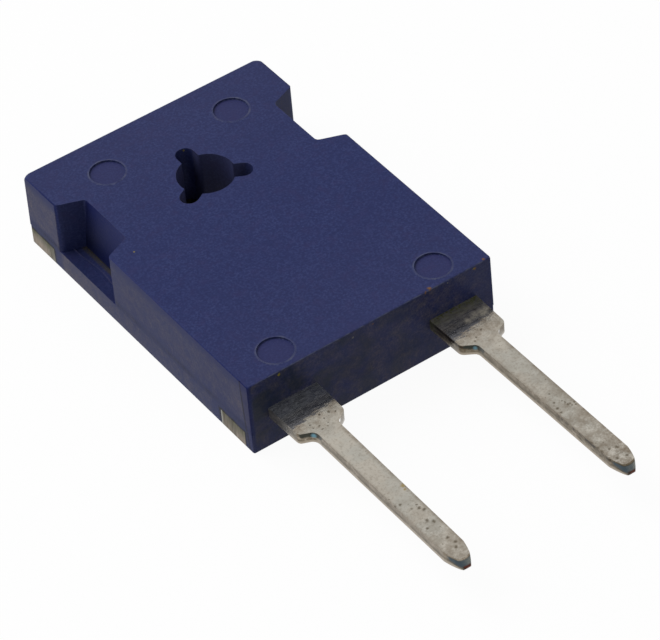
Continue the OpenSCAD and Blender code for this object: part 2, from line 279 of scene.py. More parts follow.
# moulded epoxy
epoxy = {
    "navy": tone(41, 49, 92),
    "navyDeep": tone(35, 41, 82),
    "navyPale": tone(55, 62, 104),
    "plum": tone(48, 46, 86),         # slow purplish drift
    "greyBloomAndSheen": tone(105, 98, 102),       # grey bloom, partly a painted sheen
    "topBloomAndSheen": 0.045,                 # share of it on the top at the head end
    "topBloomAndSheenByLeads": 0.03,           # and at the lead end
    "headBloomAndSheen": 0.28,                 # share on the side walls at the head end
    "wallHaze": 0.12,                 # by the lead face, and high on the walls beside the notches
    "lowHaze": 0.12,                  # below the parting line
    "faceHaze": 0.18,                 # on the lead face
    "faceHazeRight": 0.09,            # and at its right end
    "halo": 0.8,                      # clear rim left round each ear of the plate, mm
    "partingShade": tone(10, 14, 36),  # painted shade: a dark band above the parting line
    "partingShare": 0.45,
    "topBand": tone(16, 26, 84),      # cleaner blue along the top of the side walls
    "topBandShare": 0.3,
    # darker blue on the notch walls: painted shade
    "notchShadeBlue": tone(22, 34, 104),
    "notchBlueShare": 0.7,
    "shade": tone(4, 7, 30),          # painted shade in the notches, on their head-end walls and ledges
    "shadeMost": 0.92,
    "endShare": 0.24,                 # share of it on the head-end wall of a notch
    "warmLight": tone(84, 60, 70),        # painted warm light at the top of the lead end of the notches
    "ruddyShare": 0.4,
    "olive": tone(66, 62, 46),        # resin bleed at the foot of the notches
    "oliveShare": 0.8,
    "ridge": tone(64, 66, 98),        # flash line on the ledges
    "dust": tone(96, 92, 96),         # paler dust in the hole
    "dustShare": 0.16,
    "rim": tone(88, 92, 112),         # worn rim of the ejector marks, partly a painted highlight
    "floorShare": 0.3,                # plum in their floors
    "stain": tone(22, 33, 24),        # greenish dark stains on the lead face
    "stainShare": 0.6,
    "corner": tone(14, 20, 74),       # painted shade: a darker strip round the upright corners by the leads
    "cornerShadeLine": tone(0, 2, 30),     # and the painted dark line that ends it
    "edge": tone(92, 96, 116),        # worn top edge, partly a painted highlight; also pale specks on the lead face
    "notchMiddle": 0.43,              # along y, mm
    "notchReach": 3.0,                # how far its finish reaches from there, mm
    "ledgeReach": 2.4,                # and that of its foot and ledge
    "roughness": 0.5,
    "roughnessSpread": 0.06,
    "specular": 0.11,
}
yellow = tone(138, 126, 44)
rust = tone(116, 84, 52)
pale = tone(128, 128, 122)
flecks = [                            # bits of filler at the lead face's top edge and in the hole
    (-5.88, faceY + 0.02, 4.6, 0.12, yellow),
    (-1.19, faceY + 0.03, 4.4, 0.08, pale),
    (0.12, faceY + 0.02, 4.61, 0.07, rust),
    (3.88, faceY + 0.16, 4.81, 0.16, rust),
    (3.55, faceY + 0.06, 4.76, 0.07, rust),
    (5.0, faceY + 0.03, 4.65, 0.07, pale),
    (6.78, faceY + 0.03, 4.62, 0.11, rust),
    (6.7, faceY + 0.03, 4.66, 0.07, yellow),
    (7.45, faceY + 0.16, 4.82, 0.11, rust),
    (-6.57, -2.82, 4.83, 0.07, yellow),
    (0.22, 2.57, 4.69, 0.09, yellow),
]


def earSpans():
    # the stretches along y, in millimetres, where the plate shows in the side walls
    edge = plateLow.x + 0.01 * mm
    shown = sorted({vert.co.y / mm for vert in nodes["base_plate"].data.vertices if vert.co.x < edge})
    gap = max(range(1, len(shown)), key=lambda index: shown[index] - shown[index - 1])
    return [(shown[0], shown[gap - 1]), (shown[gap], shown[-1])]


def makeEpoxy():
    material, tree, shader, place = newMaterial("epoxy")
    shader.inputs["Specular IOR Level"].default_value = epoxy["specular"]
    speckle = clouds(tree, place, 8.0, 3.0)
    slow = clouds(tree, place, 0.35, 3.0)
    drift = clouds(tree, place, 1.6, 3.0, 0.6)
    colour = mixed(tree, ranged(tree, speckle, 0.3, 0.55), epoxy["navyDeep"], epoxy["navy"])
    colour = tinted(tree, colour, epoxy["navyPale"], ranged(tree, speckle, 0.5, 0.75))
    colour = tinted(tree, colour, epoxy["plum"], ranged(tree, drift, 0.5, 0.75, 0.0, 0.5))
    colour = tinted(tree, colour, epoxy["navyDeep"], ranged(tree, slow, 0.35, 0.65, 0.25, 0.0))
    xyz = split(tree, place)
    facing = normals(tree)
    outX = maths(tree, "ABSOLUTE", xyz["X"])
    aside = maths(tree, "ABSOLUTE", facing["X"])
    ragged = frayed(tree, place, speckle, 0.05)
    blotch = ranged(tree, clouds(tree, place, 0.9, 5.0, 0.7), 0.3, 0.7, 0.5, 1.5)
    blotch = both(tree, blotch, ranged(tree, speckle, 0.3, 0.7, 0.4, 1.6))

    # top: a little bloom and painted sheen at both ends
    dustAndSheen = summed(tree, ranged(tree, xyz["Y"], -3.0, 5.0, 0.0, epoxy["topBloomAndSheen"]),
                   ranged(tree, xyz["Y"], -8.0, -14.0, 0.0, epoxy["topBloomAndSheenByLeads"]))
    colour = tinted(tree, colour, epoxy["greyBloomAndSheen"], dustAndSheen, ranged(tree, facing["Z"], 0.9, 0.98))

    # side walls outside the notches: greyer towards the head, partly a painted sheen, and below the parting
    # line
    sideways = ranged(tree, aside, 0.8, 0.98)
    outside = ranged(tree, outX, sideX - 0.3, sideX - 0.1)
    upper = both(tree, ranged(tree, xyz["Z"], 1.9, 2.6),
                 ranged(tree, xyz["Y"], 1.0, -3.0, 0.0, epoxy["wallHaze"]))
    share = summed(tree, ranged(tree, xyz["Y"], -3.0, 4.0, 0.02, epoxy["headBloomAndSheen"]),
                   ranged(tree, xyz["Y"], faceY + 3.0, faceY + 0.6, 0.0, epoxy["wallHaze"]),
                   ranged(tree, xyz["Z"], parting + 0.02, parting - 0.02, 0.0, epoxy["lowHaze"]),
                   upper, ranged(tree, clouds(tree, place, 2.6, 5.0, 0.75), 0.36, 0.64, -0.15, 0.15))
    share = both(tree, share, blotch, sideways, outside, ranged(tree, xyz["Z"], 4.6, 4.1))

    # the bloom stops short of the ears, and a painted contact shadow runs round them
    mirrored = joined(tree, outX, xyz["Y"], xyz["Z"])
    plateZ = plateHigh.z / mm / 2
    contactShadow = 0.0
    for low, high in earSpans():
        centre = (plateHigh.x / mm, (low + high) / 2, plateZ)
        away = outOf(tree, mirrored, centre, (1, (high - low) / 2, plateZ))
        share = both(tree, share, ranged(tree, away, epoxy["halo"] - 0.15, epoxy["halo"] + 0.15))
        contactShadow = maths(tree, "MAXIMUM", contactShadow, ranged(tree, away, 0.26, 0.06))
    colour = tinted(tree, colour, epoxy["greyBloomAndSheen"], maths(tree, "MINIMUM", share, 1.0))
    # painted shadow round the ears where they meet the moulding
    uneven = ranged(tree, clouds(tree, place, 1.6), 0.35, 0.6, 0.45, 1.0)
    colour = tinted(tree, colour, black, contactShadow, outside, sideways, uneven)
    # painted shade in a dark band just above the parting line
    uneven = ranged(tree, clouds(tree, place, 0.5), 0.36, 0.6, 0.3, 1.0)
    colour = tinted(tree, colour, epoxy["partingShade"], band(tree, xyz["Z"], 1.5, 1.84, 0.14), uneven, blotch,
                    sideways, outside, share=epoxy["partingShare"])
    colour = tinted(tree, colour, epoxy["topBand"], ranged(tree, xyz["Z"], 4.0, 4.6), outside,
                    ranged(tree, facing["Z"], 0.9, 0.7), share=epoxy["topBandShare"])

    # notch walls: painted shade, bluer, darkest at the head end and low down; painted warm light at the top
    # of the lead end
    upright = ranged(tree, maths(tree, "ABSOLUTE", facing["Z"]), 0.6, 0.4)
    fromMiddle = maths(tree, "ABSOLUTE", maths(tree, "SUBTRACT", xyz["Y"], epoxy["notchMiddle"]))
    reach = epoxy["notchReach"]
    inNotch = both(tree, band(tree, outX, 5.4, sideX - 0.32, 0.06),
                   ranged(tree, fromMiddle, reach + 0.1, reach - 0.1))
    onWall = both(tree, inNotch, sideways)
    # painted shade on the notch walls, darker towards the head end and lower down
    grime = both(tree, inNotch, sideways, ranged(tree, xyz["Y"], -2.3, 2.0, 0.26, 0.7),
                 ranged(tree, xyz["Z"], 4.6, 2.2, 0.75, 1.3))
    colour = tinted(tree, colour, epoxy["notchShadeBlue"], onWall, share=epoxy["notchBlueShare"])
    colour = tinted(tree, colour, epoxy["shade"], maths(tree, "MINIMUM", grime, epoxy["shadeMost"]))
    colour = tinted(tree, colour, epoxy["warmLight"], onWall, ranged(tree, xyz["Y"], -1.0, -2.4),
                    ranged(tree, xyz["Z"], 3.4, 4.6), ranged(tree, speckle, 0.4, 0.6),
                    share=epoxy["ruddyShare"])
    # painted shade on the head-end wall of each notch
    colour = tinted(tree, colour, epoxy["shade"], inNotch, ranged(tree, facing["Y"], -0.8, -0.95),
                    share=epoxy["endShare"])

    # notch foot and ledge: resin bleed, painted shade towards the edge, and a bowed flash line
    onLedge = ranged(tree, fromMiddle, epoxy["ledgeReach"] + 0.3, epoxy["ledgeReach"])
    colour = tinted(tree, colour, epoxy["olive"], ranged(tree, outX, 6.86, 6.72), band(tree, outX, 6.2, 7.2),
                    ranged(tree, xyz["Z"], parting + 0.16, parting + 0.06), onLedge,
                    ranged(tree, speckle, 0.3, 0.6, 0.4, 1.0), share=epoxy["oliveShare"])
    ledge = both(tree, ranged(tree, facing["Z"], 0.3, 0.6), onLedge, ranged(tree, xyz["Z"], 2.0, 1.8))
    colour = tinted(tree, colour, epoxy["shade"], ledge, ranged(tree, outX, 6.8, 7.4, 0.04, 0.36))
    bowed = maths(tree, "SUBTRACT", outX, ranged(tree, fromMiddle, 0.0, 2.3, 0.0, 0.2, smooth=True))
    colour = tinted(tree, colour, epoxy["ridge"], ledge, band(tree, bowed, 6.95, 7.01, 0.035), blotch)

    # hole wall, with its slots
    hole = mounts["mounting_hole"]["pos_m"]
    away = outOf(tree, place, (hole[0] / mm, hole[1] / mm, 2.4), (0, 0, 3))
    inHole = both(tree, ranged(tree, away, 2.3, 2.2), upright)
    colour = tinted(tree, colour, epoxy["dust"], inHole, share=epoxy["dustShare"])

    # ejector marks: worn rims, partly a painted highlight, and purplish floors
    for x, y in marks:
        away = outOf(tree, ragged, (x, y, topZ / mm), (0, 0, 1))
        wear = ranged(tree, clouds(tree, place, 1.8, 3.0), 0.35, 0.65, 0.08, 0.6)
        colour = tinted(tree, colour, epoxy["rim"], band(tree, away, 1.0, 1.1, 0.03), wear)
        colour = tinted(tree, colour, epoxy["plum"], ranged(tree, away, 1.0, 0.9, 0.0, epoxy["floorShare"]))

    # lead face: marbled bloom, pale specks, and dark stains that are strongest at the left
    leadFace = both(tree, ranged(tree, facing["Y"], -0.8, -0.98),
                    ranged(tree, xyz["Y"], faceY + 0.6, faceY + 0.4))
    inner = ranged(tree, outX, sideX - 0.16, sideX - 0.3)
    marble = ranged(tree, clouds(tree, place, 1.8, 6.0, 0.75), 0.38, 0.62, 0.2, 1.8)
    bloom = ranged(tree, xyz["X"], 5.0, 7.4, epoxy["faceHaze"], epoxy["faceHazeRight"])
    colour = tinted(tree, colour, epoxy["greyBloomAndSheen"], leadFace, inner, marble, bloom, blotch)
    colour = tinted(tree, colour, epoxy["edge"], pitted(tree, place, 3.2, 0.12, 0.25), leadFace, inner,
                    ranged(tree, xyz["Z"], 2.0, 4.4, 0.0, 0.5), ranged(tree, xyz["X"], 3.0, 1.0))
    stain = ranged(tree, clouds(tree, place, 0.45, 3.0, 0.6, 0.6), 0.42, 0.62)
    leftward = ranged(tree, xyz["X"], 6.0, -5.0, 0.1, epoxy["stainShare"])
    colour = tinted(tree, colour, epoxy["stain"], leadFace, inner, stain, leftward)

    # upright corners by the leads: a strip of painted shade that widens upwards, ended by a painted dark line
    onSide = both(tree, ranged(tree, aside, 0.5, 0.7), outside)
    widening = ranged(tree, xyz["Z"], 0.0, 4.5, 0.0, 0.36)
    fromCorner = maths(tree, "SUBTRACT", maths(tree, "SUBTRACT", xyz["Y"], faceY), widening)
    colour = tinted(tree, colour, epoxy["corner"], onSide, ranged(tree, fromCorner, 0.42, 0.36),
                    ranged(tree, xyz["Z"], 0.2, 3.5, 0.2, 0.6))
    uneven = ranged(tree, clouds(tree, place, 2.0), 0.3, 0.6, 0.7, 1.0)
    colour = tinted(tree, colour, epoxy["cornerShadeLine"], onSide,
                    band(tree, fromCorner, 0.34, 0.46, 0.05), uneven)

    # worn line along the top edges, partly a painted highlight, and flecks
    uneven = ranged(tree, clouds(tree, place, 2.5, 3.0), 0.4, 0.6, 0.15, 0.6)
    colour = tinted(tree, colour, epoxy["edge"], ranged(tree, facing["Z"], 0.97, 0.9),
                    ranged(tree, facing["Z"], 0.3, 0.5), ranged(tree, xyz["Z"], 4.6, 4.7), uneven,
                    ranged(tree, outX, sideX - 0.3, sideX - 0.6))
    colour = spotted(tree, ragged, colour, flecks)
    spread = epoxy["roughnessSpread"]
    middle = epoxy["roughness"]
    roughness = ranged(tree, speckle, 0.3, 0.7, middle - spread, middle + spread)
    finish(tree, shader, colour, roughness, speckle, 0.25, 0.02)
    return material


# tinned leads
tin = {
    "warm": tone(181, 175, 164),
    "cool": tone(174, 171, 162),
    "dirt": tone(112, 99, 83),
    "pit": tone(84, 74, 58),
    "side": tone(122, 114, 99),
    "line": tone(86, 77, 60),         # dark line low on the sheared sides
    "lip": tone(168, 157, 142),       # rolled lower edge
    "under": tone(46, 38, 30),        # shadowed line under the right lead's left edge
    "fillet": tone(46, 50, 46),       # painted dark reflection in an arc under the left shoulders
    "glint": tone(96, 136, 150),      # painted blue glint in it
    "patch": tone(196, 190, 180),     # cleaner patches near the points
    "sheared": tone(66, 76, 82),      # bare flanks of the point, their blue-grey a painted dark reflection
    "scuffed": tone(116, 118, 112),
    "crease": tone(50, 50, 44),
    "amber": tone(150, 134, 96),
    "copper": tone(84, 40, 30),
    "filmAndReflection": tone(82, 84, 92),         # dark film by the body, partly a painted reflection of the body
    "greyed": tone(126, 126, 126),    # left lead's sides by the body
    "bluish": tone(150, 162, 180),    # tops by the body
    "dulled": tone(160, 154, 140),
    "residue": tone(84, 86, 56),      # olive flux residue where the right lead leaves the body
    "metallic": 0.93,
    "roughness": 0.08,                # between the streaks
    "dull": 0.17,                     # in them
    "shift": {"left": 0.12, "right": 0.0},    # of the painted reflection arc towards the body, mm
}
smudges = [                           # pits that stand out: x and y on the top face, and the radius
    (-4.47, -17.59, 0.08), (-4.98, -17.47, 0.06), (-5.1, -18.42, 0.05), (-5.45, -18.46, 0.06),
    (-4.94, -17.84, 0.05), (-5.79, -17.8, 0.05), (-5.79, -18.09, 0.05), (-5.44, -18.15, 0.06),
    (-4.93, -18.21, 0.05), (6.0, -16.22, 0.12), (4.76, -18.01, 0.06), (4.56, -18.19, 0.05),
    (5.34, -17.68, 0.05), (-4.93, -25.91, 0.07), (-4.97, -26.17, 0.09), (-4.82, -26.41, 0.09),
    (-5.29, -25.98, 0.07), (-5.19, -27.12, 0.1), (-4.96, -27.4, 0.1), (-5.5, -27.6, 0.08),
    (-5.07, -28.72, 0.08), (-4.96, -29.22, 0.09), (-5.15, -29.53, 0.08), (4.93, -29.72, 0.1),
    (5.45, -29.84, 0.09), (5.42, -29.06, 0.1), (5.0, -28.95, 0.07), (4.57, -28.01, 0.11),
    (4.57, -28.51, 0.1), (4.57, -28.86, 0.11), (5.31, -24.66, 0.05), (5.38, -24.81, 0.05),
    (5.41, -25.03, 0.06), (5.53, -25.04, 0.05), (5.52, -25.22, 0.05), (5.74, -25.11, 0.06),
    (5.72, -25.29, 0.05), (5.11, -23.82, 0.05), (4.9, -24.5, 0.07), (4.78, -24.95, 0.08),
    (4.74, -25.3, 0.07), (6.0, -24.45, 0.06), (-5.59, -25.4, 0.08), (-5.84, -25.3, 0.07),
    (4.42, -27.7, 0.05), (4.42, -28.1, 0.06), (4.45, -28.5, 0.05),
]
amberStains = [
    (-4.66, -24.38, leadTop / mm, 0.17, tin["amber"]),
    (-4.74, -24.66, leadTop / mm, 0.1, tin["amber"]),
]
dullPatches = [(5.72, -16.6, 0.42), (5.2, -16.72, 0.3), (6.2, -16.68, 0.45), (6.5, -16.5, 0.3)]
# along y, and out from the lead's middle
reflectionArc = [(-18.3, 1.32), (-18.37, 1.1), (-18.45, 0.88), (-18.62, 0.7), (-18.85, 0.64)]


def makeTin():
    material, tree, shader, place = newMaterial("tin")
    speckle = clouds(tree, place, 7.0, 3.0)
    slow = clouds(tree, place, 0.9, 3.0)
    mottle = clouds(tree, place, 1.9, 6.0, 0.75)
    ragged = frayed(tree, place, speckle, 0.06)
    xyz = split(tree, place)
    facing = normals(tree)
    rightLead = maths(tree, "GREATER_THAN", xyz["X"], 0.0)
    fromTip = maths(tree, "SUBTRACT", xyz["Y"], tipY / mm)
    fromTop = maths(tree, "SUBTRACT", leadTop / mm, xyz["Z"])
    steep = ranged(tree, maths(tree, "ABSOLUTE", facing["Z"]), 0.97, 0.5)
    level = ranged(tree, steep, 0.6, 0.1)
    fromAxis = maths(tree, "SUBTRACT", maths(tree, "ABSOLUTE", xyz["X"]), leadX["right"] / mm)

    def byLead(left, right):
        return ranged(tree, rightLead, 0.0, 1.0, left, right)
    rightward = both(tree, fromAxis, byLead(-1.0, 1.0))     # to the right of the lead's own middle

    # top: clouds of warm and cool tin, dirtier by the points, at the shoulders and on the right lead
    colour = mixed(tree, ranged(tree, slow, 0.4, 0.6), tin["cool"], tin["warm"])
    age = summed(tree, ranged(tree, xyz["Y"], -20.0, -29.0, 0.02, 0.2),
                 ranged(tree, xyz["Y"], -28.0, -29.6, 0.0, 0.14),
                 both(tree, rightLead, ranged(tree, xyz["Y"], -21.0, -24.0, 0.12, 0.2)),
                 both(tree, ranged(tree, xyz["Y"], -19.2, -17.8, 0.0, 0.32), byLead(1.1, 0.8)))
    age = maths(tree, "MULTIPLY", age, ranged(tree, mottle, 0.38, 0.62, 0.2, 1.8), clamp=True)
    colour = tinted(tree, colour, tin["dirt"], age)
    colour = tinted(tree, colour, tin["patch"], ranged(tree, mottle, 0.47, 0.36),
                    ranged(tree, xyz["Y"], -25.0, -27.5, 0.0, 0.5))
    colour = tinted(tree, colour, tin["dirt"], ranged(tree, speckle, 0.5, 0.72, 0.0, 0.35))
    colour = tinted(tree, colour, tin["dirt"], ranged(tree, rightward, 0.42, 0.6),
                    ranged(tree, xyz["Y"], -18.6, -19.4), ranged(tree, mottle, 0.35, 0.6, 0.25, 1.0),
                    share=0.6)

    # sheared sides: mottled, paler near the left point, dirty on the rolled edge, darker on the right lead
    colour = tinted(tree, colour, tin["side"], steep, share=0.9)
    colour = tinted(tree, colour, tin["dirt"], steep, ranged(tree, speckle, 0.42, 0.6, 0.0, 0.9))
    flakes = clouds(tree, stretched(tree, place, (1, 0.5, 1)), 4.5, 4.0, 0.7)
    colour = tinted(tree, colour, tin["line"], steep, ranged(tree, flakes, 0.5, 0.62, 0.0, 0.8))
    colour = tinted(tree, colour, tin["lip"], steep, ranged(tree, flakes, 0.47, 0.36, 0.0, 0.7))
    colour = tinted(tree, colour, tin["lip"], steep, ranged(tree, xyz["Y"], -24.8, -26.2), byLead(0.3, 0.0))
    colour = tinted(tree, colour, tin["dirt"], ranged(tree, facing["X"], 0.15, 0.4),
                    ranged(tree, facing["Z"], 0.15, 0.35), share=0.7)
    colour = tinted(tree, colour, tin["line"], steep, rightLead,
                    ranged(tree, xyz["Y"], -23.0, -21.0, 0.14, 0.42))

    # one dark broken line along them that climbs towards the right point, over a pale lower lip
    climb = both(tree, ranged(tree, xyz["Y"], -22.0, -28.0, 0.0, 0.24), rightLead)
    depth = maths(tree, "ADD", fromTop, climb)
    broken = ranged(tree, clouds(tree, stretched(tree, place, (1, 1, 0.3)), 1.8, 3.0), 0.35, 0.6, 0.35, 0.9)
    line = both(tree, steep, ranged(tree, depth, 0.22, 0.36), ranged(tree, depth, 0.5, 0.42),
                ranged(tree, xyz["Y"], -18.4, -19.2))
    colour = tinted(tree, colour, tin["line"], line, broken)
    # painted shade along the left edge of the tops
    colour = tinted(tree, colour, tin["dirt"], ranged(tree, rightward, -0.52, -0.64),
                    ranged(tree, fromTop, 0.34, 0.2), ranged(tree, xyz["Y"], -19.0, -19.8), share=0.28)
    colour = tinted(tree, colour, tin["lip"], steep, ranged(tree, fromTop, 0.46, 0.58), share=0.8)

    # a shadowed line just under the right lead's left edge, in dashes further out
    dashes = ranged(tree, clouds(tree, stretched(tree, place, (0.5, 0.8, 0.5)), 2.8, 4.0, 0.7), 0.48, 0.56)
    dashes = both(tree, dashes, ranged(tree, xyz["Y"], -24.0, -26.0))
    along = maths(tree, "MAXIMUM", ranged(tree, xyz["Y"], faceY - 3.4, faceY - 2.6), dashes)
    colour = tinted(tree, colour, tin["under"], ranged(tree, steep, 0.0, 0.4),
                    ranged(tree, rightward, -0.4, -0.5), rightLead, band(tree, fromTop, 0.04, 0.22, 0.03),
                    along, share=0.9)

    # fillets: a painted dark reflection in an arc with a painted blue glint under the left shoulder, a
    # painted gleam on the right one
    for side, x in leadX.items():
        darkReflection = 0.0
        for y, out in reflectionArc:
            centre = (x / mm - out, y + tin["shift"][side], leadTop / mm - 0.1)
            darkReflection = maths(tree, "MAXIMUM", darkReflection, spotAt(tree, ragged, centre, 0.27))
        colour = tinted(tree, colour, tin["fillet"], ranged(tree, darkReflection, 0.0, 0.5),
                        ranged(tree, steep, 0.1, 0.5), ranged(tree, fromTop, 0.42, 0.34), share=0.9)
        glint = spotAt(tree, place, (x / mm - 0.76, -18.37, leadTop / mm - 0.22), 0.2)
        colour = tinted(tree, colour, tin["glint"], glint, ranged(tree, fromTop, 0.44, 0.36))
        gleam = spotAt(tree, place, (x / mm + 0.82, -18.42, leadTop / mm - 0.08), 0.19)
        colour = tinted(tree, colour, white, gleam, ranged(tree, facing["Z"], 0.95, 0.8))

    # point: bare sheared flanks under the domed top, their blue-grey a painted dark reflection, copper at the
    # very end
    low = ranged(tree, fromTip, 0.1, 1.0, 0.56, 0.3)
    above = maths(tree, "SUBTRACT", low, fromTop)
    onPoint = ranged(tree, fromTip, 1.05, 0.8)
    scuffs = both(tree, ranged(tree, mottle, 0.38, 0.6, 0.2, 1.0), ranged(tree, rightward, -0.3, 0.15))
    colour = tinted(tree, colour, mixed(tree, scuffs, tin["sheared"], tin["scuffed"]),
                    ranged(tree, fromTop, 0.09, 0.13), onPoint, ranged(tree, above, 0.0, 0.06))
    outline = maths(tree, "MAXIMUM", both(tree, onPoint, band(tree, above, -0.07, 0.03, 0.03)),
                    both(tree, onPoint, band(tree, fromTop, 0.08, 0.12, 0.02)))
    colour = tinted(tree, colour, tin["crease"], outline, ranged(tree, mottle, 0.35, 0.6, 0.25, 0.7))
    colour = tinted(tree, colour, mixed(tree, ranged(tree, mottle, 0.42, 0.58), tin["copper"], tin["crease"]),
                    ranged(tree, fromTip, 0.14, 0.06), ranged(tree, fromTop, 0.36, 0.44))

    # pits, scattered and placed, and amber stains
    pitting = pitted(tree, place, 3.6, 0.15, 0.3)
    for x, y, radius in smudges:
        mark = spotAt(tree, ragged, (x, y, leadTop / mm), 1.5 * radius)
        pitting = maths(tree, "MAXIMUM", pitting, maths(tree, "MULTIPLY", mark, 0.8))
    colour = tinted(tree, colour, tin["pit"], pitting)
    colour = spotted(tree, ragged, colour, amberStains)

    # by the body: a dark film whose streaky edge runs a little askew, partly a painted reflection of the
    # body; greyer sides, bluish tops
    streaks = clouds(tree, stretched(tree, place, (0.6, 2.6, 1.0)), 3.0, 5.0, 0.7)
    skewed = maths(tree, "SUBTRACT", xyz["Y"], maths(tree, "MULTIPLY", rightward, 0.2))
    skewed = summed(tree, skewed, ranged(tree, streaks, 0.3, 0.7, -0.36, 0.26))
    colour = tinted(tree, colour, tin["filmAndReflection"], ranged(tree, skewed, faceY - 1.93, faceY - 1.83), level,
                    ranged(tree, xyz["Y"], faceY - 1.15, faceY - 1.5, 0.25, 0.86))
    colour = tinted(tree, colour, tin["greyed"], steep,
                    ranged(tree, xyz["Y"], faceY - 2.2, faceY - 1.4, 0.0, 0.7),
                    ranged(tree, rightLead, 1.0, 0.0))
    colour = tinted(tree, colour, tin["bluish"],
                    ranged(tree, xyz["Y"], faceY - 1.6, faceY - 0.9, 0.0, 0.4), level, byLead(1.0, 0.3))

    # dull patches, and a line of residue where the right lead leaves the body
    dull = 0.0
    for x, y, radius in dullPatches:
        mark = spotAt(tree, ragged, (x, y, leadTop / mm), radius)
        dull = maths(tree, "MAXIMUM", dull, both(tree, mark, ranged(tree, mottle, 0.36, 0.52)))
    colour = tinted(tree, colour, tin["dulled"], dull, share=0.8)
    residue = both(tree, rightLead, ranged(tree, xyz["Y"], faceY - 0.85, faceY - 0.2),
                   ranged(tree, speckle, 0.35, 0.6, 0.3, 1.0))
    colour = tinted(tree, colour, tin["residue"], residue)

    # shine: lost in the patches and the residue, and to a dull film that thickens towards the body
    atRoot = ranged(tree, xyz["Y"], faceY - 2.6, faceY - 1.6)
    lit = both(tree, rightLead, ranged(tree, fromTop, 0.3, 0.4),
               band(tree, xyz["Y"], faceY - 2.4, faceY - 1.1, 0.2))
    shine = tin["metallic"]
    for loss in (maths(tree, "MULTIPLY", dull, 0.5), maths(tree, "MULTIPLY", residue, 0.5),
                 both(tree, atRoot, steep, byLead(0.35, 0.2)),
                 both(tree, lit, steep, ranged(tree, mottle, 0.4, 0.6, 0.3, 0.6))):
        shine = maths(tree, "SUBTRACT", shine, loss)
    film = both(tree, ranged(tree, speckle, 0.38, 0.6, 0.8, 1.25),
                ranged(tree, streaks, 0.38, 0.62, 0.5, 1.5), ranged(tree, mottle, 0.4, 0.6, 0.6, 1.4),
                byLead(0.2, 0.26),
                ranged(tree, xyz["Y"], faceY - 1.8, faceY - 0.5, 0.45, 1.4))
    leftX = leadX["left"] / mm
    scuffed = both(tree, ranged(tree, xyz["X"], leftX - 0.3, leftX - 1.0),
                   band(tree, xyz["Y"], faceY - 1.7, faceY - 0.6, 0.2))
    film = maths(tree, "ADD", film, maths(tree, "MULTIPLY", scuffed, 0.05))
    shine = maths(tree, "SUBTRACT", shine, both(tree, atRoot, film), clamp=True)
    tree.links.new(shine, shader.inputs["Metallic"])

    roughness = ranged(tree, streaks, 0.4, 0.62, tin["roughness"], tin["dull"])
    swell = clouds(tree, place, 0.7, 1.0)
    height = summed(tree, maths(tree, "MULTIPLY", streaks, 0.6), maths(tree, "MULTIPLY", speckle, 0.2),
                    maths(tree, "MULTIPLY", swell, 0.8))
    height = maths(tree, "SUBTRACT", height, maths(tree, "MULTIPLY", pitting, 0.5))
    finish(tree, shader, colour, roughness, height, 0.4, 0.03)
    return material


# plated base plate
plating = {
    "warm": tone(136, 122, 107),
    "cool": tone(100, 95, 81),
    "tinge": tone(88, 88, 52),        # yellow-green tinge under the moulding
    "tingeBand": 0.5,                 # its height, mm
    "grime": tone(74, 66, 50),        # on the ears by the leads
    "under": tone(158, 153, 143),     # mounting face
    "underDull": tone(140, 134, 122),
    "brightStrip": tone(150, 150, 144),     # bright strip at the inner end of the ears by the leads
    "brightStripShare": 0.8,
    "brightStripWidth": 0.14,               # mm
    "roughness": 0.4,
    "roughnessSpread": 0.1,
}


def makePlating():
    material, tree, shader, place = newMaterial("plating")
    xyz = split(tree, place)
    slow = clouds(tree, place, 0.8, 3.0)
    mottle = clouds(tree, place, 1.6, 4.0, 0.7)
    lines = clouds(tree, stretched(tree, place, (3, 3, 0.3)), 4.0, 2.0)

    # sheared ears: a ragged tinge at the top, upright streaks, and grime that is heaviest by the leads
    colour = mixed(tree, ranged(tree, slow, 0.4, 0.6), plating["cool"], plating["warm"])
    edge = summed(tree, xyz["Z"], maths(tree, "MULTIPLY", slow, 0.3),
                  ranged(tree, mottle, 0.35, 0.65, -0.3, 0.3))
    high = plateHigh.z / mm + 0.15
    colour = tinted(tree, colour, plating["tinge"], ranged(tree, edge, high - plating["tingeBand"], high))
    colour = tinted(tree, colour, plating["grime"],
                    ranged(tree, xyz["Y"], faceY + 4.0, faceY + 3.5, 0.25, 0.75),
                    ranged(tree, lines, 0.4, 0.65, 0.3, 1.0))
    colour = tinted(tree, colour, plating["grime"], pitted(tree, place, 3.5, 0.2, 0.5))

    # mounting face: plain
    sides = ranged(tree, normals(tree)["Z"], -0.8, -0.5)
    plain = mixed(tree, ranged(tree, mottle, 0.3, 0.7), plating["under"], plating["underDull"])
    plain = tinted(tree, plain, plating["cool"], ranged(tree, lines, 0.45, 0.6, 0.0, 0.25))
    colour = mixed(tree, sides, plain, colour)

    # tops of the ears in shade, and the bright strip
    colour = tinted(tree, colour, black, sides, ranged(tree, xyz["Z"], 0.4, 1.05),
                    ranged(tree, xyz["Y"], -8.0, -2.0, 0.15, 0.36))
    earEnd = earSpans()[0][1]
    colour = tinted(tree, colour, plating["brightStrip"], sides,
                    band(tree, xyz["Y"], earEnd - plating["brightStripWidth"], earEnd),
                    share=plating["brightStripShare"])
    spread = plating["roughnessSpread"]
    middle = plating["roughness"]
    roughness = ranged(tree, lines, 0.3, 0.7, middle - spread, middle + spread)
    shader.inputs["Metallic"].default_value = 1.0
    finish(tree, shader, colour, roughness, lines, 0.3, 0.02)
    return material


